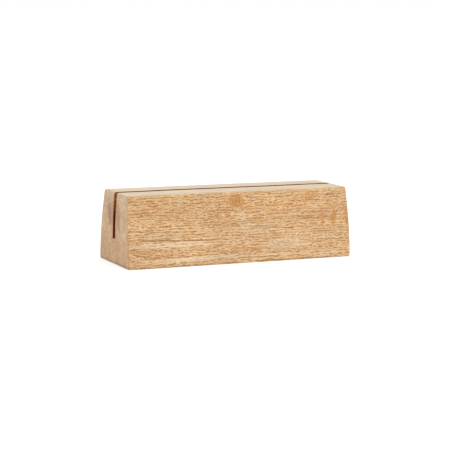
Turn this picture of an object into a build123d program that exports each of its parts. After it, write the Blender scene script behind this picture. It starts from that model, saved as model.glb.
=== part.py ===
from build123d import *
import os

# Wooden photo block: one solid block of timber with a straight saw slot down its top.
# X runs along the length, Y from the front to the back, Z up.
# The origin is the centre of the foot, on the surface that the block stands on.
# All sizes are in millimetres.

# Driving dimensions. The length and the width are those of the foot, before its edges are eased.
LENGTH = 150.0
WIDTH = 51.5
HEIGHT = 44.0
SLOT_WIDTH = 3.2
SLOT_DEPTH = 28.0

# How far each end and each side leans in between the foot and the top
END_LEAN = 1.25
SIDE_LEAN = 5.5

# How far each face swells past a flat one at half its height, from sanding
END_CROWN = 0.5
SIDE_CROWN = 0.6

# Eased edges
EDGE_RADIUS = 1.3
SLOT_EDGE_RADIUS = 0.25

# How far a cutting solid runs past the face that it cuts through
CUT_OVERRUN = 5.0


def crowned_outline(foot, lean, crown):
    """The face of a tapered section, foot wide below, whose two sides lean in and are bowed out by crown."""
    half_foot = foot / 2
    half_top = half_foot - lean
    half_middle = half_foot - lean / 2 + crown
    sides = [
        Line((-half_foot, 0), (half_foot, 0)),
        ThreePointArc((half_foot, 0), (half_middle, HEIGHT / 2), (half_top, HEIGHT)),
        Line((half_top, HEIGHT), (-half_top, HEIGHT)),
        ThreePointArc((-half_top, HEIGHT), (-half_middle, HEIGHT / 2), (-half_foot, 0)),
    ]
    return make_face(Wire(sides))


def bar(outline, plane, reach):
    """A straight bar of the outline's section that runs past a block of the given reach at both ends."""
    return extrude(plane * outline, amount=reach / 2 + CUT_OVERRUN, both=True)


def tapered_blank():
    """The block before it is slotted: narrower at the top both ways, with crowned sides and ends."""
    cross_section = crowned_outline(WIDTH, SIDE_LEAN, SIDE_CROWN)
    front_outline = crowned_outline(LENGTH, END_LEAN, END_CROWN)
    return bar(cross_section, Plane.YZ, LENGTH) & bar(front_outline, Plane.XZ, WIDTH)


def slot_cutter():
    """The space of the saw slot, open at the top and at both ends."""
    cut = Box(
        LENGTH + 2 * CUT_OVERRUN,
        SLOT_WIDTH,
        SLOT_DEPTH + CUT_OVERRUN,
        align=(Align.CENTER, Align.CENTER, Align.MIN),
    )
    return Pos(0, 0, HEIGHT - SLOT_DEPTH) * cut


def slot_end_edges(solid):
    """The edges round the slot's two open ends. Easing them eases the mouth too, which leads on from them."""
    floor_height = HEIGHT - SLOT_DEPTH
    beside_slot = [
        edge
        for edge in solid.edges()
        if abs(edge.center().Y) < SLOT_WIDTH
        and edge.center().Z > floor_height / 2
    ]
    return [edge for edge in beside_slot if abs(edge.center().X) > LENGTH / 4]


def make_block():
    """The finished block, with its edges eased by sanding."""
    blank = tapered_blank()
    eased_blank = fillet(blank.edges(), EDGE_RADIUS)
    slotted = eased_blank - slot_cutter()
    return fillet(slot_end_edges(slotted), SLOT_EDGE_RADIUS)


os.makedirs("parts", exist_ok=True)
export_step(make_block(), "parts/block.step")
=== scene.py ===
"""The wooden photo block holder: its dressed mesh, its timber, and the studio that it stands in.

The block is one piece of pale timber with interlocked grain. It is hand sanded all over, its edges are
eased, and one straight slot is sawn down its top from end to end. X runs along the block, Y from the front
to the back and Z up. Meshes are in metres. The timber's figure is worked out in millimetres, through the
whole of the wood, so that it runs on round every edge.
"""

import logging
import math
from collections.abc import Callable
from dataclasses import dataclass, field
from enum import IntEnum
from functools import reduce

import bpy
import numpy as np
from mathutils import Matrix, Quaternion, Vector


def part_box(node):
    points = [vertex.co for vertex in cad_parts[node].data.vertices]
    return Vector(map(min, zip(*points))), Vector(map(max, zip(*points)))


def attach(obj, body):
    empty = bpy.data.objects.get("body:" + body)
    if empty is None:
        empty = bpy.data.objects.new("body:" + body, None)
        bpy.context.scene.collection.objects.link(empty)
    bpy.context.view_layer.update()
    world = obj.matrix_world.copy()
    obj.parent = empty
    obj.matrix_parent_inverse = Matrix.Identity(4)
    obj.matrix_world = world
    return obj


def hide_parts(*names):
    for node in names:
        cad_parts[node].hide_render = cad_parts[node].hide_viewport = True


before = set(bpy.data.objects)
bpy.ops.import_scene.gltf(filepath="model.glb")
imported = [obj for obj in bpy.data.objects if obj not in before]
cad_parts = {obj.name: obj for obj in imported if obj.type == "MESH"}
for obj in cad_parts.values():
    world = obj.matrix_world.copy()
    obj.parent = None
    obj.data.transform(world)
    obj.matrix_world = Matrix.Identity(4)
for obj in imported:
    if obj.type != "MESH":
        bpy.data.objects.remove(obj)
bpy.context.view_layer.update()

LOG = logging.getLogger("photo_block")

MM = 0.001
METRES_TO_MM = (1000.0, 1000.0, 1000.0)
TINY = 1e-12
TOUCHING = 1e-9
FLOAT, VECTOR = "NodeSocketFloat", "NodeSocketVector"

Socket = bpy.types.NodeSocket
Group = bpy.types.NodeTree
Span = tuple[float, float]
Triple = tuple[float, float, float]
Colour = tuple[float, float, float, float]


class TimberSurface(IntEnum):
    """The two surfaces of the block, in the order of its material slots."""

    SANDED = 0
    SAWN = 1


# Node building


@dataclass(frozen=True)
class Signal:
    """What a node puts out: a number, a point, a colour or a shader.

    Arithmetic with signals adds the nodes that do it: sums of numbers, or of points and colours if the first
    signal is one.
    """

    wiring: "Wiring"
    socket: Socket

    def maths(self, operation: str, other: "Feed" = 0.0) -> "Signal":
        """Return one sum of this and another, by Blender's name of it."""
        kind = "ShaderNodeMath" if self.socket.type == "VALUE" else "ShaderNodeVectorMath"
        return self.wiring.signal(kind, {0: self, 1: other}, operation=operation)

    def __add__(self, other: "Feed") -> "Signal":
        """Return this plus the other."""
        return self.maths("ADD", other)

    def __sub__(self, other: "Feed") -> "Signal":
        """Return this less the other."""
        return self.maths("SUBTRACT", other)

    def __rsub__(self, number: float) -> "Signal":
        """Return a plain number less this."""
        return self.wiring.signal("ShaderNodeMath", {0: number, 1: self}, operation="SUBTRACT")

    def __mul__(self, other: "Feed") -> "Signal":
        """Return this times the other."""
        return self.maths("MULTIPLY", other)

    def __truediv__(self, other: "Feed") -> "Signal":
        """Return this divided by the other."""
        return self.maths("DIVIDE", other)

    def __abs__(self) -> "Signal":
        """Return this number without its sign."""
        return self.maths("ABSOLUTE")


Feed = Signal | float | tuple
Signals = dict[str, Signal]


@dataclass(frozen=True)
class Drift:
    """A smooth random shift: how long its waves are and how far it goes along each axis, in millimetres."""

    reach: Triple
    amount: Feed


@dataclass(frozen=True)
class Mottle:
    """Soft spots: how long they are along each axis, in millimetres, and the noise that they rise over."""

    reach: Triple
    span: Span
    detail: float = 1.0


class Wiring:
    """Adds nodes to one shader node tree and joins them."""

    MIX_SOCKETS = {"FLOAT": (2, 3, 0), "VECTOR": (4, 5, 1), "RGBA": (6, 7, 2)}

    def __init__(self, tree: Group) -> None:
        """Keep the tree that the nodes go into."""
        self.tree = tree

    @classmethod
    def of(cls, owner: bpy.types.Material | bpy.types.World) -> "Wiring":
        """Take over the nodes of a material or a world.

        Args:
            owner: The material or the world.

        Returns:
            The wiring of its tree, which is empty.
        """
        owner.use_nodes = True
        owner.node_tree.nodes.clear()
        return cls(owner.node_tree)

    def feed(self, socket: Socket, value: Feed) -> None:
        """Join a socket to the signal that feeds it, or set its own value.

        Args:
            socket: The socket.
            value: The signal or the value.
        """
        if isinstance(value, Signal):
            self.tree.links.new(value.socket, socket)
        else:
            socket.default_value = value

    def node(self, kind: str, feeds: dict | None = None, **settings: object) -> bpy.types.Node:
        """Add a node.

        Args:
            kind: The node's Blender type.
            feeds: What goes into its sockets, by name or by place.
            settings: Its own properties.

        Returns:
            The new node.
        """
        node = self.tree.nodes.new(kind)
        for name, value in settings.items():
            setattr(node, name, value)
        for name, value in (feeds or {}).items():
            self.feed(node.inputs[name], value)
        return node

    def signal(
        self, kind: str, feeds: dict | None = None, result: int | str = 0, **settings: object,
    ) -> Signal:
        """Add a node and return one of its outputs, by name or by place."""
        return Signal(self, self.node(kind, feeds, **settings).outputs[result])

    def signals(self, kind: str, feeds: dict | None = None, **settings: object) -> Signals:
        """Add a node and return all its outputs by name."""
        return {output.name: Signal(self, output) for output in self.node(kind, feeds, **settings).outputs}

    def use(self, group: Group, feeds: dict[str, Feed]) -> Signals:
        """Place a node group in this tree and return its outputs by name."""
        return self.signals("ShaderNodeGroup", feeds, node_tree=group)

    def largest(self, *values: Signal) -> Signal:
        """Return the largest of several numbers."""
        return reduce(lambda found, value: found.maths("MAXIMUM", value), values)

    def clamped(self, value: Signal) -> Signal:
        """Keep a number between 0 and 1."""
        return self.signal("ShaderNodeClamp", {0: value})

    def length(self, point: Signal) -> Signal:
        """Return how far a point is from the origin."""
        return self.signal("ShaderNodeVectorMath", {0: point}, "Value", operation="LENGTH")

    def parts(self, point: Signal) -> list[Signal]:
        """Split a point into its X, Y and Z."""
        return list(self.signals("ShaderNodeSeparateXYZ", {0: point}).values())

    def joined(self, x: Feed = 0.0, y: Feed = 0.0, z: Feed = 0.0) -> Signal:
        """Join three numbers into a point."""
        return self.signal("ShaderNodeCombineXYZ", {0: x, 1: y, 2: z})

    def attribute(self, name: str) -> Signal:
        """Read a number that the mesh keeps for each of its points."""
        return self.signal("ShaderNodeAttribute", None, "Fac", attribute_name=name)

    def noise(
        self, point: Signal, reach: Feed, detail: float = 1.0, roughness: float = 0.5, result: str = "Fac",
    ) -> Signal:
        """Read smooth noise.

        Args:
            point: Where it is read, in millimetres.
            reach: How long its marks are along each axis, in millimetres.
            detail: How many finer layers are added.
            roughness: How strong the finer layers are.
            result: Fac for a number, or Color for three of them.

        Returns:
            The noise, between 0 and 1.
        """
        feeds = {"Vector": point / reach, "Scale": 1.0, "Detail": detail, "Roughness": roughness}
        return self.signal("ShaderNodeTexNoise", feeds, result, noise_dimensions="3D")

    def sway(self, point: Signal, reach: Feed, amount: Feed, **settings: float) -> Signal:
        """Return noise about 0, whose whole range is the amount."""
        return (self.noise(point, reach, **settings) - 0.5) * amount

    def shift(self, point: Signal, drift: Drift) -> Signal:
        """Return a smooth random shift, whose whole range is the drift's amount along each axis."""
        return (self.noise(point, drift.reach, result="Color") - (0.5, 0.5, 0.5)) * drift.amount

    def step(self, value: Signal, low: Feed, high: Feed) -> Signal:
        """Ease from 0, where a value is low, to 1, where it is high. High may lie below low."""
        feeds = {0: value, 1: low, 2: high, 3: 0.0, 4: 1.0}
        return self.signal("ShaderNodeMapRange", feeds, interpolation_type="SMOOTHSTEP")

    def mottled(self, point: Signal, mottle: Mottle) -> Signal:
        """Return 1 in the spots of a mottle and 0 between them."""
        return self.step(self.noise(point, mottle.reach, mottle.detail), *mottle.span)

    def mix(self, share: Feed, first: Feed, second: Feed, kind: str = "FLOAT", blend: str = "MIX") -> Signal:
        """Mix two numbers, points or colours.

        Args:
            share: How much of the second there is.
            first: What there is at a share of 0.
            second: What there is at a share of 1.
            kind: FLOAT, VECTOR or RGBA.
            blend: How two colours are mixed.

        Returns:
            The mixture.
        """
        place_first, place_second, result = self.MIX_SOCKETS[kind]
        feeds = {0: share, place_first: first, place_second: second}
        return self.signal("ShaderNodeMix", feeds, result, data_type=kind, blend_type=blend)

    def layers(self, colour: Feed, *layers: tuple[Signal, Colour], blend: str = "MIX") -> Signal:
        """Lay colours over a first one.

        Args:
            colour: The first colour.
            layers: How strongly each colour is laid over those before it, and the colour.
            blend: How each is mixed with what lies below it.

        Returns:
            The colour on top.
        """
        for share, over in layers:
            colour = self.mix(share, colour, over, "RGBA", blend)
        return colour

    def ramp(self, value: Signal, stops: list[tuple[float, Colour]]) -> Signal:
        """Turn a number into a colour.

        Args:
            value: The number, between 0 and 1.
            stops: Each place from 0 to 1 with its colour, in rising order.

        Returns:
            The colour.
        """
        node = self.node("ShaderNodeValToRGB", {0: value})
        elements = node.color_ramp.elements
        while len(elements) < len(stops):
            elements.new(1.0)
        for element, (place, colour) in zip(elements, stops):
            element.position = place
            element.color = colour
        return Signal(self, node.outputs[0])


class Effect(Wiring):
    """A shader node group with named inputs and outputs."""

    def __init__(self, name: str, inputs: dict[str, str], outputs: dict[str, str]) -> None:
        """Make the group and its sockets.

        Args:
            name: The group's name.
            inputs: The kind of each input, by name.
            outputs: The kind of each output, by name.
        """
        super().__init__(bpy.data.node_groups.new(name, "ShaderNodeTree"))
        for way, kinds in (("INPUT", inputs), ("OUTPUT", outputs)):
            for socket_name, kind in kinds.items():
                self.tree.interface.new_socket(name=socket_name, in_out=way, socket_type=kind)
        self.given = self.signals("NodeGroupInput")
        self.result = self.node("NodeGroupOutput").inputs

    def put_out(self, **values: Feed) -> Group:
        """Join the outputs of the group to what feeds them.

        Args:
            values: What feeds each output, by name.

        Returns:
            The group.
        """
        for name, value in values.items():
            self.feed(self.result[name], value)
        return self.tree


# The timber's figure


@dataclass(frozen=True)
class HeightBand:
    """A band along the front face, up to a height in millimetres, with its own figure."""

    top: float
    interlock: float
    pallor: float


@dataclass(frozen=True)
class FigurePatch:
    """A patch of one face where the figure changes: its centre and reach along and up, in millimetres.

    The lean is how far it rises for each millimetre along.
    """

    centre: Span
    reach: Span
    strength: float
    ragged: float = 1.2
    lean: float = 0.0


@dataclass(frozen=True)
class GrainLine:
    """A long dark line along the front face, from one place to another, in millimetres."""

    start: Span
    end: Span
    strength: float


@dataclass(frozen=True)
class VesselRows:
    """Rows of vessels: their spacing, how they swell and where they break off, in millimetres.

    The width and the swell are shares of the spacing.
    """

    spacing: float
    width: float
    swell: float
    swell_reach: Triple
    break_reach: Triple
    strength: float


@dataclass(frozen=True)
class Dashes:
    """Short marks along the fibres: their reach in millimetres, and the noise that they start at."""

    reach: Triple
    threshold: float
    softness: float
    strength: float = 1.0


def feeds_of(pattern: object) -> dict[str, Feed]:
    """Return the values of a pattern by the names of the sockets that they feed."""
    return {name.replace("_", " ").title(): value for name, value in vars(pattern).items()}


@dataclass(frozen=True)
class TimberFigure:
    """Where the bands, patches and lines of this board lie and what its marks are like, in millimetres.

    A span runs from where its effect is nothing to where it is whole. The shares in a pair are those at the
    two ends of a mixture.
    """

    front_foot: float = -25.75
    front_lean: float = 5.5
    height: float = 44.0
    bands: tuple[HeightBand, ...] = (
        HeightBand(top=1.6, interlock=0.2, pallor=0.3),
        HeightBand(top=6.0, interlock=0.1, pallor=0.8),
        HeightBand(top=11.0, interlock=0.7, pallor=0.1),
        HeightBand(top=15.4, interlock=0.05, pallor=0.9),
        HeightBand(top=18.0, interlock=0.6, pallor=0.35),
        HeightBand(top=26.0, interlock=0.15, pallor=0.5),
        HeightBand(top=40.0, interlock=0.3, pallor=0.05),
        HeightBand(top=44.0, interlock=0.3, pallor=0.1),
    )
    bow: Drift = Drift((55.0, 30.0, 30.0), (0.0, 3.0, 3.0))
    wander: Drift = Drift((9.0, 4.0, 4.0), (0.0, 0.6, 0.6))
    twist_reach: Triple = (2.4, 1.4, 1.4)
    twist_amounts: tuple[Triple, Triple] = ((0.1, 0.1, 0.1), (0.6, 0.45, 0.45))
    curliness: Mottle = Mottle((16.0, 7.0, 7.0), (0.38, 0.62))
    curliness_shares: Span = (0.5, 1.2)
    shading: Mottle = Mottle((26.0, 14.0, 7.0), (0.34, 0.66), detail=2.0)
    shading_shares: Span = (0.995, 1.125)
    hue_reach: Triple = (6.5, 4.0, 2.2)
    pale_hue_span: Span = (0.5, 0.35)
    orange_hue_span: Span = (0.5, 0.68)
    hue_share: float = 0.28
    band_pallor_share: float = 0.4

    patch_depth: float = 7.0
    patch_rim_reach: Triple = (3.0, 1.2, 1.2)
    patch_span: Span = (1.1, 0.45)
    curls: tuple[FigurePatch, ...] = (
        FigurePatch((-24.0, 34.0), (26.0, 10.0), strength=0.85),
        FigurePatch((27.0, 37.0), (27.0, 6.5), strength=0.85),
        FigurePatch((62.0, 13.0), (16.0, 8.0), strength=0.7),
    )
    ripples: tuple[FigurePatch, ...] = (
        FigurePatch((-3.0, 38.5), (7.0, 5.0), strength=1.0),
        FigurePatch((47.0, 39.0), (5.5, 4.0), strength=0.7),
        FigurePatch((56.0, 25.0), (1.8, 6.5), strength=0.7),
        FigurePatch((63.5, 25.0), (2.6, 7.0), strength=0.9),
        FigurePatch((73.0, 25.5), (2.4, 6.5), strength=0.9),
    )
    ripple_calm: float = 0.6
    pale_patches: tuple[FigurePatch, ...] = (
        FigurePatch((48.5, 32.5), (7.0, 4.0), strength=0.35, ragged=1.8),
        FigurePatch((0.5, 29.5), (7.0, 2.8), strength=0.4, ragged=1.8),
        FigurePatch((-43.0, 13.3), (37.0, 2.3), strength=0.8, ragged=0.5),
        FigurePatch((-28.0, 4.2), (46.0, 2.0), strength=0.85, ragged=0.9),
        FigurePatch((45.0, 4.4), (24.0, 1.9), strength=0.4, ragged=1.5),
        FigurePatch((29.0, 10.0), (19.0, 5.0), strength=0.65, ragged=1.6),
        FigurePatch((10.0, 21.0), (27.0, 4.2), strength=0.5, ragged=1.6),
        FigurePatch((-52.0, 17.2), (15.0, 1.5), strength=0.5),
    )
    pale_calm: float = 0.78
    dusky_patches: tuple[FigurePatch, ...] = (
        FigurePatch((-45.0, 39.5), (44.0, 5.0), strength=0.9, ragged=1.6),
        FigurePatch((-12.0, 34.0), (22.0, 4.0), strength=0.5, ragged=1.8),
    )
    dusk_share: float = 0.075
    mauve_patches: tuple[FigurePatch, ...] = (
        FigurePatch((8.2, 30.5), (5.6, 6.8), strength=0.9, ragged=1.8, lean=0.9),
        FigurePatch((5.0, 29.5), (5.5, 10.0), strength=0.5, ragged=1.6),
        FigurePatch((-7.2, 27.5), (4.6, 6.8), strength=0.65, ragged=1.8, lean=0.8),
        FigurePatch((-5.5, 30.0), (5.0, 7.5), strength=0.35, ragged=1.3),
    )
    pale_rays: tuple[FigurePatch, ...] = (
        FigurePatch((-13.5, 20.5), (12.0, 3.2), strength=0.7, lean=0.55),
        FigurePatch((8.0, 21.5), (7.0, 2.6), strength=0.42, lean=-0.5),
    )

    lines: tuple[GrainLine, ...] = (
        GrainLine((-70.0, 17.2), (-17.0, 15.3), strength=1.0),
        GrainLine((-75.0, 22.4), (-44.0, 21.2), strength=0.4),
        GrainLine((-75.0, 11.0), (-48.0, 10.6), strength=0.6),
        GrainLine((-10.0, 23.8), (-1.0, 23.6), strength=0.8),
        GrainLine((27.5, 20.4), (36.0, 20.2), strength=1.0),
        GrainLine((4.0, 22.0), (30.0, 21.2), strength=0.5),
        GrainLine((38.0, 26.6), (54.0, 25.2), strength=0.6),
        GrainLine((-72.0, 33.6), (-56.0, 33.0), strength=0.6),
        GrainLine((-22.0, 3.6), (22.0, 3.2), strength=0.6),
    )
    line_wave_reach: Triple = (9.0, 6.0, 6.0)
    line_wave: float = 1.6
    line_width_span: Span = (0.5, 0.15)
    line_end_span: Span = (1.0, 0.8)
    line_depth_span: Span = (9.0, 4.0)
    line_breaks: Mottle = Mottle((3.0, 2.0, 1.0), (0.38, 0.5))
    line_break_shares: Span = (0.55, 1.0)
    line_fleck_share: float = 0.85

    row_slant: float = -0.8
    row_roughness: float = 0.35
    row_break_span: Span = (0.3, 0.62)
    row_least_width: float = 0.15
    broad_rows: VesselRows = VesselRows(1.95, 0.28, 1.5, (7.0, 3.0, 2.8), (2.5, 1.0, 1.0), strength=1.7)
    fine_rows: VesselRows = VesselRows(1.1, 0.3, 1.8, (7.0, 3.0, 2.8), (2.1, 1.0, 1.0), strength=0.55)
    curly_rows: VesselRows = VesselRows(1.8, 0.36, 1.8, (2.8, 2.4, 4.5), (1.4, 1.4, 1.2), strength=1.75)
    ripple_rows: VesselRows = VesselRows(1.5, 0.4, 1.4, (5.0, 4.0, 2.5), (4.0, 3.0, 1.6), strength=0.95)

    dash_roughness: float = 0.4
    level_dashes: Dashes = Dashes((45.0, 3.0, 0.8), threshold=0.5, softness=0.14, strength=0.18)
    fibre_dashes: Dashes = Dashes((3.2, 0.36, 0.26), threshold=0.4, softness=0.24)
    fibre_shares: Span = (0.45, 1.65)
    fibre_level: float = 0.07
    fleck_dashes: Dashes = Dashes((1.9, 0.7, 0.5), threshold=0.62, softness=0.08)
    fleck_hollow_share: float = 0.4
    pore_dashes: Dashes = Dashes((2.0, 0.24, 0.2), threshold=0.6, softness=0.05)
    pore_fleck_share: float = 0.5
    streak_dashes: Dashes = Dashes((26.0, 0.9, 9.0), threshold=0.46, softness=0.16, strength=0.3)

    pith: Span = (-36.0, 66.0)
    end_bow: Drift = Drift((20.0, 9.0, 9.0), (0.0, 3.0, 3.0))
    end_layers: Mottle = Mottle((30.0, 1.1, 14.0), (0.42, 0.66))
    end_pores: Mottle = Mottle((6.0, 0.42, 0.42), (0.6, 0.72), detail=0.0)
    end_cloud_reach: Triple = (30.0, 4.0, 5.0)
    end_ray_reach: Triple = (8.0, 5.0, 0.5)
    end_streak_reach: Triple = (20.0, 5.0, 0.7)
    end_shade_shares: Triple = (0.75, 0.25, 0.55)
    end_shade_level: float = 0.2

    def front_point(self, across: float, up: float) -> Triple:
        """Return the point of the leaning front face at a place along it and a height."""
        return across, self.front_foot + self.front_lean * up / self.height, up

    def on_front(self, patch: FigurePatch) -> dict[str, Triple]:
        """Return the centre and the reach of a patch of the front face."""
        along, up = patch.reach
        return {"Centre": self.front_point(*patch.centre), "Reach": (along, self.patch_depth, up)}

    def on_end(self, patch: FigurePatch) -> dict[str, Triple]:
        """Return the centre and the reach of a patch of the ends."""
        return {"Centre": (0.0, *patch.centre), "Reach": (1.0, *patch.reach)}

    def line_feeds(self, line: GrainLine) -> dict[str, Feed]:
        """Work out what draws a long line.

        Args:
            line: The line.

        Returns:
            The values of the group's sockets, by name.
        """
        (x0, z0), (x1, z1) = line.start, line.end
        middle = self.front_point((x0 + x1) / 2, (z0 + z1) / 2)
        rise = (z1 - z0) / (x1 - x0)
        return {"Middle": middle, "Half Length": (x1 - x0) / 2, "Rise": rise, "Strength": line.strength}

    def band_stops(self) -> list[tuple[float, Colour]]:
        """Set the bands out up the block.

        Returns:
            The middle of each band as a share of the height, with its interlock as red and pallor as green.
        """
        stops = []
        bottom = 0.0
        for band in self.bands:
            stops.append(((bottom + band.top) / 2 / self.height, (band.interlock, band.pallor, 0.0, 1.0)))
            bottom = band.top
        return stops


class TimberEffects:
    """The node groups that the block's materials share, each built once."""

    def __init__(self, figure: TimberFigure) -> None:
        """Build the groups.

        Args:
            figure: Where the figure of this board lies.
        """
        self.figure = figure
        self.dashes = self.build_dashes()
        self.vessels = self.build_vessels()
        self.patch = self.build_patch()
        self.line = self.build_line()
        self.fibres = self.build_fibres()
        self.grain = self.build_grain()
        self.end_grain = self.build_end_grain()

    def build_dashes(self) -> Group:
        """Build the group that draws short, thin marks along the fibres.

        Returns:
            The group. Its output is its strength on a mark and 0 beside it.
        """
        inputs = {"Point": VECTOR, "Reach": VECTOR, "Threshold": FLOAT, "Softness": FLOAT, "Strength": FLOAT}
        effect = Effect("grain_dashes", inputs, {"Mask": FLOAT})
        given = effect.given
        noise = effect.noise(given["Point"], given["Reach"], roughness=self.figure.dash_roughness)
        mark = effect.step(noise, given["Threshold"], given["Threshold"] + given["Softness"])
        return effect.put_out(Mask=mark * given["Strength"])

    def build_vessels(self) -> Group:
        """Build the group that draws the rows of vessels: thin lines one above the other that wave or curl.

        The rows lie in slanting sheets, so that they show as lines on the front, on the back and on the top.

        Returns:
            The group. Its output is its strength on a line and 0 beside it.
        """
        figure = self.figure
        inputs = dict.fromkeys(("Spacing", "Width", "Swell", "Strength"), FLOAT)
        inputs |= dict.fromkeys(("Point", "Swell Reach", "Break Reach"), VECTOR)
        effect = Effect("vessel_rows", inputs, {"Mask": FLOAT})
        given = effect.given
        point = given["Point"]
        _, depth, height = effect.parts(point)
        level = height + abs(depth) * figure.row_slant
        swell = effect.sway(point, given["Swell Reach"], given["Swell"], roughness=figure.row_roughness)
        away = (level / given["Spacing"] + swell).maths("PINGPONG", 0.5)
        worn = effect.step(effect.noise(point, given["Break Reach"]), *figure.row_break_span)
        width = given["Width"] * (worn + figure.row_least_width)
        return effect.put_out(Mask=effect.step(away, width, 0.0) * worn * given["Strength"])

    def build_patch(self) -> Group:
        """Build the group that masks one patch of the wood.

        Returns:
            The group. Its output is its strength in the middle of the patch and 0 outside, with a ragged rim.
        """
        figure = self.figure
        inputs = dict.fromkeys(("Point", "Centre", "Reach"), VECTOR)
        inputs |= dict.fromkeys(("Lean", "Ragged", "Strength"), FLOAT)
        effect = Effect("figure_patch", inputs, {"Mask": FLOAT})
        given = effect.given
        away = given["Point"] - given["Centre"]
        rise = effect.joined(z=effect.parts(away)[1] * given["Lean"])
        distance = effect.length((away - rise) / given["Reach"])
        ragged = effect.sway(given["Point"], figure.patch_rim_reach, given["Ragged"], detail=2.0)
        return effect.put_out(Mask=effect.step(distance + ragged, *figure.patch_span) * given["Strength"])

    def build_line(self) -> Group:
        """Build the group that draws one long, slightly wavy line along the front.

        Returns:
            The group. Its output is its strength on the line and 0 beside it.
        """
        figure = self.figure
        inputs = {"Point": VECTOR, "Middle": VECTOR, "Half Length": FLOAT, "Rise": FLOAT, "Strength": FLOAT}
        effect = Effect("grain_line", inputs, {"Mask": FLOAT})
        given = effect.given
        point = given["Point"]
        x, y, z = effect.parts(point - given["Middle"])
        wave = effect.sway(point, figure.line_wave_reach, figure.line_wave, detail=2.0)
        across = effect.step(abs(z - x * given["Rise"] + wave), *figure.line_width_span)
        along = effect.step(abs(x) / given["Half Length"], *figure.line_end_span)
        deep = effect.step(abs(y), *figure.line_depth_span)
        broken = effect.mix(effect.mottled(point, figure.line_breaks), *figure.line_break_shares)
        return effect.put_out(Mask=across * along * deep * broken * given["Strength"])

    def marks(self, effect: Effect, point: Signal, pattern: VesselRows | Dashes) -> Signal:
        """Draw rows of vessels or dashes of one pattern."""
        group = self.vessels if isinstance(pattern, VesselRows) else self.dashes
        return effect.use(group, feeds_of(pattern) | {"Point": point})["Mask"]

    def patches(
        self,
        effect: Effect,
        point: Signal,
        patches: tuple[FigurePatch, ...],
        placed: Callable[[FigurePatch], dict],
    ) -> Signal:
        """Join the masks of several patches of one face.

        Args:
            effect: The group that they go into.
            point: The point, in millimetres.
            patches: The patches.
            placed: What gives the centre and the reach of a patch of that face.

        Returns:
            The strongest mask at each point.
        """
        feeds = [feeds_of(patch) | placed(patch) | {"Point": point} for patch in patches]
        return effect.largest(*(effect.use(self.patch, given)["Mask"] for given in feeds))

    def build_fibres(self) -> Group:
        """Build the group that turns a place in the block into one along its bent fibres.

        Returns:
            The group. Its outputs are the place in millimetres, the point among the fibres, and masks of how
            interlocked the fibres are and how pale the wood is.
        """
        figure = self.figure
        outputs = {"Place": VECTOR, "Point": VECTOR, "Interlock": FLOAT, "Pallor": FLOAT}
        effect = Effect("timber_fibres", {"Position": VECTOR}, outputs)
        place = effect.given["Position"] * METRES_TO_MM
        bent = place + effect.shift(place, figure.bow)

        share = effect.clamped(effect.parts(bent)[2] / figure.height)
        banded = effect.signals("ShaderNodeSeparateColor", {0: effect.ramp(share, figure.band_stops())})
        patchy = effect.mix(effect.mottled(place, figure.curliness), *figure.curliness_shares)
        curls = self.patches(effect, place, figure.curls, figure.on_front)
        interlock = effect.largest(effect.clamped(banded["Red"] * patchy), curls)

        twist = Drift(figure.twist_reach, effect.mix(interlock, *figure.twist_amounts, kind="VECTOR"))
        point = bent + effect.shift(bent, figure.wander) + effect.shift(bent, twist)
        return effect.put_out(Place=place, Point=point, Interlock=interlock, Pallor=banded["Green"])

    def build_grain(self) -> Group:
        """Build the group that draws the long grain.

        Returns:
            The group. Its outputs are masks of the rows of vessels, of the straight streaks that the top
            shows, of dark flecks, of pale wood and of orange wood, then how bright the wood is, how far its
            surface lies below the sanded face, and the place.
        """
        figure = self.figure
        outputs = dict.fromkeys(("Rows", "Streaks", "Flecks", "Pale", "Orange", "Shade", "Hollow"), FLOAT)
        effect = Effect("timber_grain", {"Position": VECTOR}, outputs | {"Place": VECTOR})
        fibres = effect.use(self.fibres, {"Position": effect.given["Position"]})
        place, point = fibres["Place"], fibres["Point"]
        pallor, warmth, dusk = (
            self.patches(effect, place, patches, figure.on_front)
            for patches in (figure.pale_patches, figure.ripples, figure.dusky_patches)
        )
        lines = [effect.use(self.line, figure.line_feeds(line) | {"Point": place}) for line in figure.lines]
        long_line = effect.largest(*(line["Mask"] for line in lines))
        broad, fine, curly, level, fibre, flecks, pores, streaks = (
            self.marks(effect, point, pattern)
            for pattern in (
                figure.broad_rows, figure.fine_rows, figure.curly_rows, figure.level_dashes,
                figure.fibre_dashes, figure.fleck_dashes, figure.pore_dashes, figure.streak_dashes,
            )
        )
        x, y, z = effect.parts(place)
        ripple = self.marks(effect, effect.joined(z, y, x), figure.ripple_rows)

        calm = 1.0 - pallor * figure.pale_calm
        rows = effect.mix(fibres["Interlock"], broad + fine, curly) * calm
        rows = rows * effect.mix(fibre, *figure.fibre_shares) + level + fibre * figure.fibre_level
        rows = rows * (1.0 - warmth * figure.ripple_calm)
        flecks = flecks * calm
        hue = effect.noise(point, figure.hue_reach)
        pale_hue = effect.step(hue, *figure.pale_hue_span) * figure.hue_share
        orange_hue = effect.step(hue, *figure.orange_hue_span) * figure.hue_share
        shade = effect.mix(effect.mottled(place, figure.shading), *figure.shading_shares)
        line_flecks, pore_flecks = long_line * figure.line_fleck_share, pores * figure.pore_fleck_share
        return effect.put_out(
            Rows=effect.largest(rows, ripple * warmth, long_line).maths("MINIMUM", 1.0),
            Streaks=streaks,
            Flecks=effect.largest(flecks, pore_flecks, line_flecks),
            Pale=effect.largest(fibres["Pallor"] * figure.band_pallor_share + pale_hue, pallor),
            Orange=effect.largest(warmth, orange_hue),
            Shade=shade - dusk * figure.dusk_share,
            Hollow=effect.largest(pores, flecks * figure.fleck_hollow_share),
            Place=place,
        )

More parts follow.
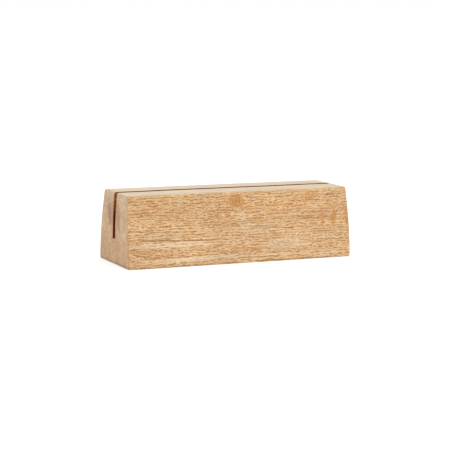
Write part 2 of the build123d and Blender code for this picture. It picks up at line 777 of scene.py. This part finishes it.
    def build_end_grain(self) -> Group:
        """Build the group that draws the end grain, with its growth layers and its mauve streaks.

        Returns:
            The group. Its outputs are masks of pale layers, of pale rays, of mauve wood and of pores, and how
            bright the wood is.
        """
        figure = self.figure
        outputs = dict.fromkeys(("Pale", "Ray", "Mauve", "Pores", "Shade"), FLOAT)
        effect = Effect("end_grain", {"Place": VECTOR}, outputs)
        place = effect.given["Place"]
        bent = place + effect.shift(place, figure.end_bow)
        x, y, z = effect.parts(bent - (0.0, *figure.pith))
        layer = (y * y + z * z).maths("SQRT")
        ringed = effect.joined(x, layer, z.maths("ARCTAN2", y) * math.hypot(*figure.pith))
        flat = place * (0.0, 1.0, 1.0)
        noises = (
            effect.noise(place, figure.end_cloud_reach, detail=2.0),
            effect.noise(ringed, figure.end_ray_reach),
            effect.noise(bent, figure.end_streak_reach),
        )
        clouds, rays, streaks = (noise * share for noise, share in zip(noises, figure.end_shade_shares))
        return effect.put_out(
            Pale=effect.mottled(ringed, figure.end_layers),
            Ray=self.patches(effect, flat, figure.pale_rays, figure.on_end),
            Mauve=self.patches(effect, flat, figure.mauve_patches, figure.on_end),
            Pores=effect.mottled(place, figure.end_pores),
            Shade=clouds + rays + streaks + figure.end_shade_level,
        )


# Finishes


class TimberNodes(Wiring):
    """The nodes of one timber material, with the place in the block and the grain that is there."""

    def __init__(self, material: bpy.types.Material, effects: TimberEffects) -> None:
        """Read the place and the grain.

        Args:
            material: The material.
            effects: The node groups of the timber.
        """
        super().__init__(Wiring.of(material).tree)
        self.effects = effects
        position = self.signal("ShaderNodeTexCoord", None, "Object")
        self.x, self.y, self.z = self.parts(position)
        self.grain = self.use(effects.grain, {"Position": position})


class TimberFinish:
    """A surface of the timber. Each kind has a name and says what goes into its shader."""

    name = "timber"

    def shader_feeds(self, nodes: TimberNodes) -> dict[str, Feed]:
        """Return what goes into the sockets of the shader, by name."""
        raise NotImplementedError

    def build(self, effects: TimberEffects) -> bpy.types.Material:
        """Build the material.

        Args:
            effects: The node groups of the timber.

        Returns:
            The material.
        """
        material = bpy.data.materials.new(self.name)
        nodes = TimberNodes(material, effects)
        shader = nodes.signal("ShaderNodeBsdfPrincipled", self.shader_feeds(nodes))
        nodes.node("ShaderNodeOutputMaterial", {"Surface": shader})
        return material


@dataclass(frozen=True)
class SandedTimber(TimberFinish):
    """Sanded timber, left matt: the front, the back, the top, the ends and every eased edge.

    A span runs from where its effect is nothing to where it is whole. A pair of shares or of reaches is first
    of what lies away from the top and then of the top.
    """

    name: str = "sanded_timber"
    honey: Colour = (0.79, 0.514, 0.245, 1.0)
    pale: Colour = (0.86, 0.69, 0.46, 1.0)
    orange: Colour = (0.66, 0.33, 0.10, 1.0)
    brown: Colour = (0.41, 0.14, 0.018, 1.0)
    dark: Colour = (0.22, 0.07, 0.010, 1.0)
    # The top's colour is partly its paler wood and partly a painted reflection of the white surround; it
    # reaches a little lower at the rear.
    top_wood: Colour = (0.695, 0.55, 0.325, 1.0)
    top_share: float = 0.85
    top_span: Span = (42.8 * MM, 43.8 * MM)
    rear_span: Span = (10.0 * MM, 18.0 * MM)
    rear_lift: float = 0.5 * MM
    row_shares: Span = (0.9, 0.3)
    fleck_shares: Span = (0.6, 0.35)

    end_wood: Colour = (0.625, 0.37, 0.172, 1.0)
    end_pale: Colour = (0.635, 0.42, 0.23, 1.0)
    layer_share: float = 0.3
    bleached_share: float = 0.7
    bleached_span: Span = (12.0 * MM, 28.0 * MM)
    end_top: Colour = (0.69, 0.51, 0.32, 1.0)
    end_top_share: float = 0.65
    end_top_span: Span = (36.0 * MM, 43.0 * MM)
    ray: Colour = (0.745, 0.505, 0.275, 1.0)
    mauve: Colour = (0.38, 0.17, 0.085, 1.0)
    # Painted shade: the ends darken and grey by the rear edge, where less light comes from behind.
    worn_edge: Colour = (0.33, 0.24, 0.14, 1.0)
    # Painted shade: the end grain darkens towards the foot, as the table's contact shadow.
    foot_share: float = 0.58
    foot_span: Span = (2.2 * MM, 0.5 * MM)
    shade_powers: Triple = (1.0, 1.2, 1.6)
    pore_share: float = 0.3
    corner: Colour = (0.45, 0.20, 0.07, 1.0)
    corner_share: float = 1.6

    slot_half_width: float = 1.6 * MM
    slot_floor_span: Span = (15.2 * MM, 16.2 * MM)
    mouth_span: Span = (43.2 * MM, 43.8 * MM)
    toast: Colour = (1.0, 0.66, 0.46, 1.0)
    tan: Colour = (1.0, 0.96, 0.72, 1.0)
    heat_span: Span = (3.2 * MM, 0.3 * MM)
    # Partly saw burn and partly painted shade that darkens the mouth of the slot.
    burnt: Colour = (0.20, 0.06, 0.008, 1.0)
    burn_reaches: Span = (1.9 * MM, 0.95 * MM)
    burn_core: float = 0.35 * MM
    burn_span: Span = (22.0 * MM, 32.0 * MM)
    burn_shares: Span = (0.2, 0.9)

    pore_depth: float = 0.1 * MM
    pore_relief: float = 0.2
    roughness: float = 0.4
    end_roughness: float = 0.75
    sheen: float = 0.25

    def long_colour(self, nodes: TimberNodes) -> Signal:
        """Colour the wood along the grain, with a paler top that is partly painted reflection.

        Args:
            nodes: The material's nodes.

        Returns:
            The colour.
        """
        grain = nodes.grain
        # Painted reflection: the top and the rear rounding take the paler top colour.
        rear = nodes.step(nodes.y, *self.rear_span) * self.rear_lift
        top = nodes.step(nodes.z + rear, *self.top_span)
        wood = nodes.layers(
            self.honey,
            (grain["Pale"], self.pale),
            (grain["Orange"], self.orange),
            (top * self.top_share, self.top_wood),
        )
        return nodes.layers(
            wood * grain["Shade"],
            (grain["Rows"] * nodes.mix(top, *self.row_shares) + grain["Streaks"] * top, self.brown),
            (grain["Flecks"] * nodes.mix(top, *self.fleck_shares), self.dark),
        )

    def end_colour(self, nodes: TimberNodes, end: Signals) -> Signal:
        """Colour the end grain, with painted shade towards the foot and along the rear edge.

        Args:
            nodes: The material's nodes.
            end: The outputs of the end grain group.

        Returns:
            The colour.
        """
        bleached = nodes.step(nodes.z, *self.bleached_span) * self.bleached_share
        wood = nodes.layers(
            self.end_wood,
            (bleached + end["Pale"] * self.layer_share, self.end_pale),
            (end["Ray"], self.ray),
            (nodes.step(nodes.z, *self.end_top_span) * self.end_top_share, self.end_top),
            (end["Mauve"], self.mauve),
            # painted shade along the rear edge of each end
            (nodes.attribute("rear_edge"), self.worn_edge),
        )
        # Painted shade: darker towards the foot, where the table shades the end grain.
        shade = end["Shade"] * (1.0 - nodes.step(nodes.z, *self.foot_span) * self.foot_share)
        deeper = nodes.joined(*(shade.maths("POWER", power) for power in self.shade_powers))
        return nodes.layers(wood * deeper, (end["Pores"] * self.pore_share, self.dark))

    def scorched(self, nodes: TimberNodes, colour: Signal, on_end: Signal) -> Signal:
        """Warm the wood that the saw heated beside the slot, and burn what is next to it, above all high up.
        The burn is partly saw scorch and partly painted shade that darkens the slot's mouth.

        Args:
            nodes: The material's nodes.
            colour: The wood's colour before.
            on_end: How much the surface is end grain.

        Returns:
            The colour.
        """
        beside = abs(nodes.y) - self.slot_half_width
        on_top = nodes.step(nodes.z, *self.mouth_span)
        above_floor = nodes.step(nodes.z, *self.slot_floor_span)
        heated = nodes.step(beside, *self.heat_span) * above_floor
        near = nodes.step(beside, nodes.mix(on_top, *self.burn_reaches), self.burn_core)
        high = nodes.mix(nodes.step(nodes.z, *self.burn_span), *self.burn_shares)
        warmed = (heated * on_end, self.toast), (heated * on_top, self.tan)
        colour = nodes.layers(colour, *warmed, blend="MULTIPLY")
        return nodes.layers(colour, (near * high * above_floor, self.burnt))

    def shader_feeds(self, nodes: TimberNodes) -> dict[str, Feed]:
        """Work out what goes into the shader of the sanded timber.

        Args:
            nodes: The material's nodes.

        Returns:
            The values of the shader's sockets, by name.
        """
        end = nodes.use(nodes.effects.end_grain, {"Place": nodes.grain["Place"]})
        on_end = nodes.attribute("end_grain")
        colour = nodes.mix(on_end, self.long_colour(nodes), self.end_colour(nodes, end), kind="RGBA")
        colour = nodes.layers(colour, (on_end * (1.0 - on_end) * self.corner_share, self.corner))
        raised = 1.0 - nodes.mix(on_end, nodes.grain["Hollow"], end["Pores"])
        relief = {"Strength": self.pore_relief, "Distance": self.pore_depth, "Height": raised}
        return {
            "Base Color": self.scorched(nodes, colour, on_end),
            "Roughness": nodes.mix(on_end, self.roughness, self.end_roughness),
            "Sheen Weight": self.sheen,
            "Normal": nodes.signal("ShaderNodeBump", relief),
        }


@dataclass(frozen=True)
class SawnTimber(TimberFinish):
    """Timber as the saw left it: the walls and the floor of the slot. Its dark colour is partly saw scorch
    and partly painted shade deep in the slot.

    Painted light makes the walls paler near the top, the ends and the mouth, where light comes in. A span
    runs from where the wood is dark to where it is painted lit.
    """

    name: str = "sawn_timber"
    scorch: Colour = (0.11, 0.018, 0.001, 1.0)
    open_wood: Colour = (0.47, 0.17, 0.035, 1.0)
    end_span: Span = (70.0 * MM, 74.5 * MM)
    top_span: Span = (27.0 * MM, 42.0 * MM)
    mouth_span: Span = (41.5 * MM, 43.5 * MM)
    mouth_share: float = 0.16
    bars: Mottle = Mottle((20.0, 9.0, 1.8), (0.4, 0.6))
    bar_shares: Span = (1.15, 0.5)
    brightness: float = 1.1
    row_share: float = 0.4
    roughness: float = 0.9
    gloss: float = 0.0

    def shader_feeds(self, nodes: TimberNodes) -> dict[str, Feed]:
        """Work out what goes into the shader of the sawn timber.

        Args:
            nodes: The material's nodes.

        Returns:
            The values of the shader's sockets, by name.
        """
        near_end = nodes.step(abs(nodes.x), *self.end_span)
        near_top = nodes.step(nodes.z, *self.top_span)
        bars = nodes.mix(nodes.mottled(nodes.grain["Place"], self.bars), *self.bar_shares)
        mouth = nodes.step(nodes.z, *self.mouth_span) * self.mouth_share
        # Painted light near the mouth and the ends, where light comes into the slot; deeper in stays the dark
        # colour, partly painted shade.
        lit_share = nodes.largest(near_top * near_end * bars, mouth)
        wood = nodes.layers(self.scorch, (lit_share, self.open_wood))
        shade = self.brightness - nodes.grain["Rows"] * self.row_share
        return {"Base Color": wood * shade, "Roughness": self.roughness, "Specular IOR Level": self.gloss}


# The block


@dataclass(frozen=True)
class HandSanding:
    """The slight waves that hand sanding leaves in a face, all of them into the wood."""

    broad_depth: float = 0.10 * MM
    broad_pitch: float = 38.0 * MM
    fine_depth: float = 0.03 * MM
    fine_pitch: float = 12.0 * MM
    edge_swing: float = 0.25
    edge_pitch: float = 22.0 * MM
    wave_count: int = 9
    pitch_shares: Span = (0.7, 1.4)
    seed: int = 11

    def waves(self, points: np.ndarray, pitch: float, seed: int) -> np.ndarray:
        """Add up plane waves that run in different directions.

        Args:
            points: The points, one to a row.
            pitch: The length of a wave.
            seed: What the directions and the phases are drawn from.

        Returns:
            A height between 0 and 1 for each point.
        """
        draw = np.random.default_rng(seed)
        total = np.zeros(len(points))
        for _ in range(self.wave_count):
            direction = draw.normal(size=3)
            direction /= np.linalg.norm(direction)
            turns = points @ direction * (math.tau / pitch) * draw.uniform(*self.pitch_shares)
            total += np.sin(turns + draw.uniform(0, math.tau))
        return 0.5 + 0.5 * np.tanh(total / math.sqrt(self.wave_count))

    def depth(self, points: np.ndarray) -> np.ndarray:
        """Return how far into the wood the sanded face lies at each point."""
        broad = self.broad_depth * self.waves(points, self.broad_pitch, self.seed)
        return broad + self.fine_depth * self.waves(points, self.fine_pitch, self.seed + 1)

    def easing(self, points: np.ndarray) -> np.ndarray:
        """Return how strongly each point of an edge was eased, where 1 is the plain round."""
        return 1 + self.edge_swing * (2 * self.waves(points, self.edge_pitch, self.seed + 2) - 1)


@dataclass
class PhotoBlock:
    """The block of timber with the slot that holds a print. Its length and width are those of the foot."""

    length: float = 150.0 * MM
    width: float = 51.5 * MM
    height: float = 44.0 * MM
    slot_width: float = 3.2 * MM
    slot_depth: float = 28.0 * MM
    end_lean: float = 1.25 * MM
    side_lean: float = 5.5 * MM
    end_crown: float = 0.5 * MM
    side_crown: float = 0.6 * MM
    edge_radius: float = 1.3 * MM
    slot_edge_radius: float = 0.25 * MM
    # A border on the top beside the slot with the sawn finish: partly saw scorch, partly painted shade.
    scorched_border: float = 0.46 * MM
    rim_share: float = 0.9
    # How far the painted shade by the rear edges of the ends reaches from the back, and its strength there.
    rear_wear: float = 3.6 * MM
    rear_wear_share: float = 0.9
    end_turn_shares: Span = (0.55, 0.9)
    flat_share: float = 0.999
    sharp_angle: float = 50.0
    face_pitch: float = 0.8 * MM
    edge_steps: int = 6
    slot_edge_steps: int = 4
    sanding: HandSanding = field(default_factory=HandSanding)

    def half_sizes(self) -> np.ndarray:
        """Return half the length, width and height of the straight block."""
        return np.array([self.length, self.width, self.height]) / 2

    def stations(self, places: list[tuple[float, int]]) -> np.ndarray:
        """Divide a stretch of an axis into steps.

        Args:
            places: Each place along the axis, in rising order, with the count of steps that lead up to it. A
                count of 0 asks for steps of about the face pitch.

        Returns:
            The stations, in rising order.
        """
        (start, _), *rest = places
        found = [start]
        for end, steps in rest:
            steps = steps or max(1, round((end - found[-1]) / self.face_pitch))
            found.extend(np.linspace(found[-1], end, steps + 1)[1:])
        return np.array(found)

    def lattice_axes(self) -> list[np.ndarray]:
        """Divide the straight block along X, Y and Z, more finely at its edges.

        Returns:
            The stations along each axis.
        """
        half_length, half_width, half_height = self.half_sizes()
        wide, fine = self.edge_radius, self.slot_edge_radius
        steps, fine_steps = self.edge_steps, self.slot_edge_steps
        half_slot = self.slot_width / 2
        rim = (half_slot, half_slot + fine, half_slot + fine + self.scorched_border)
        along = self.stations([
            (-half_length, 0), (fine - half_length, fine_steps), (wide - half_length, fine_steps),
            (half_length - wide, 0), (half_length - fine, fine_steps), (half_length, fine_steps),
        ])
        across = self.stations([
            (-half_width, 0), (wide - half_width, steps), (-rim[2], 0), (-rim[1], 1), (-rim[0], fine_steps),
            (rim[0], 0), (rim[1], fine_steps), (rim[2], 1), (half_width - wide, 0), (half_width, steps),
        ])
        floor = self.height - self.slot_depth
        upright = self.stations([
            (0.0, 0), (wide, steps), (floor - fine, 0), (floor, fine_steps), (self.height - wide, 0),
            (self.height - fine, fine_steps), (self.height, fine_steps),
        ])
        return [along, across, upright]

    def skin(self) -> tuple[np.ndarray, np.ndarray]:
        """Take the skin of the slotted straight block from a lattice of cells.

        Returns:
            The points, one to a row, and the four points of each face, turned outwards.
        """
        axes = self.lattice_axes()
        middles = [(axis[1:] + axis[:-1]) / 2 for axis in axes]
        shape = [len(middle) for middle in middles]
        in_slot = (np.abs(middles[1]) < self.slot_width / 2)[:, None]
        in_slot = in_slot & (middles[2] > self.height - self.slot_depth)[None, :]
        solid = np.broadcast_to(~in_slot, shape)
        padded = np.pad(solid, 1)
        counts = [size + 1 for size in shape]
        faces = []
        for axis in range(3):
            beside = [other for other in range(3) if other != axis]
            for side in (-1, 1):
                neighbour = np.roll(padded, -side, axis=axis)[1:-1, 1:-1, 1:-1]
                cells = np.argwhere(solid & ~neighbour)
                corner = cells.copy()
                corner[:, axis] += side > 0
                loop = []
                turn = [(0, 0), (1, 0), (1, 1), (0, 1)]
                forward = (side > 0) == (axis != 1)
                for first, second in (turn if forward else turn[::-1]):
                    place = corner.copy()
                    place[:, beside[0]] += first
                    place[:, beside[1]] += second
                    loop.append(np.ravel_multi_index(place.T, counts))
                faces.append(np.stack(loop, axis=1))
        faces = np.concatenate(faces)
        used, flat = np.unique(faces, return_inverse=True)
        grid = np.unravel_index(used, counts)
        points = np.stack([axes[axis][grid[axis]] for axis in range(3)], axis=1)
        return points, flat.reshape(faces.shape)

    def eased(self, points: np.ndarray) -> tuple[np.ndarray, np.ndarray]:
        """Round the outer edges of the straight block.

        Args:
            points: Its points.

        Returns:
            The moved points, and the outward direction at each, which is zero deep in the slot.
        """
        centre = np.array([0.0, 0.0, self.height / 2])
        inset = self.half_sizes() - self.edge_radius
        inner = np.clip(points - centre, -inset, inset) + centre
        offset = points - inner
        largest = np.abs(offset).max(axis=1)
        length = np.linalg.norm(offset, axis=1)
        safe = np.maximum(length, TINY)
        share = np.where(length > 0, (largest / safe) ** self.sanding.easing(points), 1.0)
        outward = offset / safe[:, None] * (largest / self.edge_radius)[:, None]
        return inner + offset * share[:, None], outward

    def slot_eased(self, straight: np.ndarray, points: np.ndarray) -> np.ndarray:
        """Round the rim of the slot at the top and at both ends.

        Args:
            straight: The points of the straight block.
            points: The same points with the outer edges rounded.

        Returns:
            The moved points.
        """
        radius = self.slot_edge_radius
        half_slot = self.slot_width / 2
        floor = self.height - self.slot_depth
        beside = np.maximum(np.abs(straight[:, 1]) - half_slot, 0.0)
        below = np.maximum(floor - straight[:, 2], 0.0)
        outside = np.maximum(beside, below)
        to_end = self.length / 2 - np.abs(straight[:, 0])
        to_top = self.height - straight[:, 2]
        depth = np.minimum(to_end, to_top)
        near = (outside < radius) & (depth < radius)
        rise, sink = radius - outside, radius - depth
        scale = np.maximum(rise, sink) / np.maximum(np.hypot(rise, sink), TINY)
        away = np.where(near, (radius - rise * scale) - outside, 0.0)
        inward = np.where(near, (radius - sink * scale) - depth, 0.0)

        on_wall = (np.abs(np.abs(straight[:, 1]) - half_slot) < TOUCHING) | (beside > 0)
        on_floor = (np.abs(straight[:, 2] - floor) < TOUCHING) | (below > 0)
        reach = np.maximum(outside, TINY)
        out_y = np.where(outside > 0, beside / reach, on_wall) * np.sign(straight[:, 1])
        out_z = -np.where(outside > 0, below / reach, on_floor)

        edge = self.edge_radius
        end_pull = np.maximum(edge - to_end, 0.0) * np.sign(straight[:, 0])
        top_pull = np.maximum(edge - to_top, 0.0)
        pull = np.maximum(np.hypot(end_pull, top_pull), TINY)
        moved = points.copy()
        moved[:, 0] -= inward * end_pull / pull
        moved[:, 1] += away * out_y
        moved[:, 2] += away * out_z - inward * top_pull / pull
        return moved

    def tapered(self, points: np.ndarray) -> np.ndarray:
        """Lean the ends and the sides in towards the top, and crown them. The slot stays plumb.

        Args:
            points: The points of the straight block.

        Returns:
            The moved points.
        """
        share = np.clip(points[:, 2] / self.height, 0.0, 1.0)
        crown = 4 * share * (1 - share)
        moved = points.copy()
        end_move = self.end_crown * crown - self.end_lean * share
        moved[:, 0] += end_move * points[:, 0] / (self.length / 2)
        rim = self.slot_width / 2 + self.slot_edge_radius
        full = self.width / 2 - self.edge_radius
        grip = np.clip((np.abs(points[:, 1]) - rim) / (full - rim), 0.0, 1.0)
        side_move = self.side_crown * crown - self.side_lean * share
        moved[:, 1] += side_move * grip * np.sign(points[:, 1])
        return moved

    def sawn_faces(self, points: np.ndarray, faces: np.ndarray) -> np.ndarray:
        """Tell which faces the saw left: those of the slot, its rim and a border on the top. Their dark
        colour is partly saw scorch and partly painted shade.

        Args:
            points: The points of the straight block.
            faces: The faces.

        Returns:
            True for each sawn face.
        """
        middle = points[faces].mean(axis=1)
        rim = self.rim_share * self.slot_edge_radius
        on_top = middle[:, 2] > self.height - self.slot_edge_radius
        border = np.where(on_top, self.slot_edge_radius + self.scorched_border, rim)
        near_slot = np.abs(middle[:, 1]) < self.slot_width / 2 + border
        return near_slot & (middle[:, 2] > self.height - self.slot_depth - rim)

    def build(self) -> bpy.types.Object:
        """Build the block's mesh.

        Returns:
            The block.
        """
        straight, faces = self.skin()
        points, outward = self.eased(straight)
        points = self.tapered(self.slot_eased(straight, points))
        on_flat_foot = (straight[:, 2] <= 0.0) & (outward[:, 2] < -self.flat_share)
        worn = np.where(on_flat_foot, 0.0, self.sanding.depth(points))
        points -= outward * worn[:, None]
        points[:, 2] = np.clip(points[:, 2], 0.0, self.height)

        mesh = bpy.data.meshes.new("photo_block")
        mesh.from_pydata(points.tolist(), [], faces.tolist())
        mesh.polygons.foreach_set("material_index", self.sawn_faces(straight, faces).astype(np.int32))
        mesh.shade_smooth()
        mesh.set_sharp_from_angle(angle=math.radians(self.sharp_angle))
        mesh.update()
        normals = np.zeros(points.size, np.float32)
        mesh.vertices.foreach_get("normal", normals)
        facing_end = np.abs(normals.reshape(-1, 3)[:, 0])
        self.store(mesh, "end_grain", np.interp(facing_end, self.end_turn_shares, (0.0, 1.0)))
        # A mask of the painted shade along the rear edges, for the end grain's colour.
        from_rear = self.width / 2 - straight[:, 1]
        self.store(mesh, "rear_edge", np.clip(self.rear_wear_share - from_rear / self.rear_wear, 0.0, 1.0))
        block = bpy.data.objects.new("photo_block", mesh)
        bpy.context.scene.collection.objects.link(block)
        return block

    @staticmethod
    def store(mesh: bpy.types.Mesh, name: str, values: np.ndarray) -> None:
        """Keep a number for each point of the mesh, for its materials to read."""
        mesh.attributes.new(name, "FLOAT", "POINT").data.foreach_set("value", values.astype(np.float32))

    def dress(self, block: bpy.types.Object, effects: TimberEffects) -> None:
        """Give the block its finishes and seat it in the frame.

        Args:
            block: The block.
            effects: The node groups of the timber.
        """
        finishes = {TimberSurface.SANDED: SandedTimber(), TimberSurface.SAWN: SawnTimber()}
        for surface in TimberSurface:
            block.data.materials.append(finishes[surface].build(effects))
        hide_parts("block")
        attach(block, "root")


# The studio


@dataclass(frozen=True)
class SoftBox:
    """A large soft lamp."""

    name: str
    place: Triple
    aim: Triple
    size: float
    power: float

    def build(self) -> bpy.types.Object:
        """Hang the lamp.

        Returns:
            The lamp.
        """
        light = bpy.data.lights.new(self.name, "AREA")
        light.shape = "SQUARE"
        light.size = self.size
        light.energy = self.power
        lamp = bpy.data.objects.new(self.name, light)
        lamp.location = self.place
        lamp.rotation_euler = (Vector(self.aim) - Vector(self.place)).to_track_quat("-Z", "Y").to_euler()
        bpy.context.scene.collection.objects.link(lamp)
        return lamp


@dataclass
class Studio:
    """The white table and surround that the block stands in, and their light."""

    table_reach: float = 3.0
    table_drop: float = 0.05 * MM
    table_white: float = 0.86
    table_lift: float = 0.34
    surround_strength: float = 0.86
    lamp: SoftBox = SoftBox("overhead_box", (0.08, -0.6, 1.1), (0.0, 0.0, 0.02), size=1.4, power=4.5)

    def seen_white(self, wiring: Wiring) -> Signal:
        """Return 1 for rays from the camera, a reflection or a glass, and 0 for the rest."""
        path = wiring.signals("ShaderNodeLightPath")
        return wiring.largest(path["Is Camera Ray"], path["Is Glossy Ray"], path["Is Transmission Ray"])

    def build_table(self) -> bpy.types.Object:
        """Lay the table.

        Returns:
            The table.
        """
        low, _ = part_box("block")
        level = low.z - self.table_drop
        reach = self.table_reach
        corners = [(-reach, -reach), (reach, -reach), (reach, reach), (-reach, reach)]
        mesh = bpy.data.meshes.new("table")
        mesh.from_pydata([(x, y, level) for x, y in corners], [], [(0, 1, 2, 3)])
        table = bpy.data.objects.new("table", mesh)
        bpy.context.scene.collection.objects.link(table)

        material = bpy.data.materials.new("table_white")
        wiring = Wiring.of(material)
        white = (self.table_white, self.table_white, self.table_white, 1.0)
        paint = wiring.signal("ShaderNodeBsdfDiffuse", {"Color": white})
        glow = wiring.signal("ShaderNodeEmission", {"Strength": self.seen_white(wiring) * self.table_lift})
        front = wiring.signal("ShaderNodeAddShader", {0: paint, 1: glow})
        clear = wiring.signal("ShaderNodeBsdfTransparent")
        below = wiring.signal("ShaderNodeNewGeometry", None, "Backfacing")
        shader = wiring.signal("ShaderNodeMixShader", {0: below, 1: front, 2: clear})
        wiring.node("ShaderNodeOutputMaterial", {"Surface": shader})
        mesh.materials.append(material)
        return table

    def build_surround(self) -> None:
        """Light the block evenly from all round, and show pure white behind it."""
        world = bpy.data.worlds.new("white_surround")
        bpy.context.scene.world = world
        wiring = Wiring.of(world)
        strength = wiring.mix(self.seen_white(wiring), self.surround_strength, 1.0)
        sky = wiring.signal("ShaderNodeBackground", {"Color": (1.0, 1.0, 1.0, 1.0), "Strength": strength})
        wiring.node("ShaderNodeOutputWorld", {"Surface": sky})


@dataclass(frozen=True)
class PhotoCamera:
    """The camera, at the photograph's angle. Angles are in degrees."""

    azimuth: float = -24.07
    elevation: float = 8.013
    roll: float = 0.472
    distance: float = 1007.33 * MM
    aim: Triple = (0.459 * MM, 2.862 * MM, 19.891 * MM)
    lens: float = 128.0
    sensor: float = 36.0

    def build(self) -> bpy.types.Object:
        """Place the camera.

        Returns:
            The camera.
        """
        turn, tilt = math.radians(self.azimuth), math.radians(self.elevation)
        back = Vector((math.sin(turn) * math.cos(tilt), -math.cos(turn) * math.cos(tilt), math.sin(tilt)))
        data = bpy.data.cameras.new("photo_camera")
        data.lens = self.lens
        data.sensor_width = self.sensor
        camera = bpy.data.objects.new("photo_camera", data)
        camera.rotation_mode = "QUATERNION"
        level = (-back).to_track_quat("-Z", "Y")
        camera.rotation_quaternion = level @ Quaternion((0.0, 0.0, 1.0), math.radians(self.roll))
        camera.location = Vector(self.aim) + back * self.distance
        bpy.context.scene.collection.objects.link(camera)
        bpy.context.scene.camera = camera
        return camera


def main() -> None:
    """Build the block, the studio and the camera, in that order."""
    logging.basicConfig(level=logging.INFO, format="%(name)s: %(message)s")
    bpy.context.scene.view_settings.view_transform = "Standard"

    photo_block = PhotoBlock()
    block = photo_block.build()
    photo_block.dress(block, TimberEffects(TimberFigure()))
    LOG.info("%s: %d faces", block.name, len(block.data.polygons))

    studio = Studio()
    table = studio.build_table()
    LOG.info("%s: laid", table.name)
    studio.build_surround()
    LOG.info("%s: lit", studio.lamp.build().name)

    camera = PhotoCamera().build()
    LOG.info("%s: placed", camera.name)


if __name__ == "__main__":
    main()
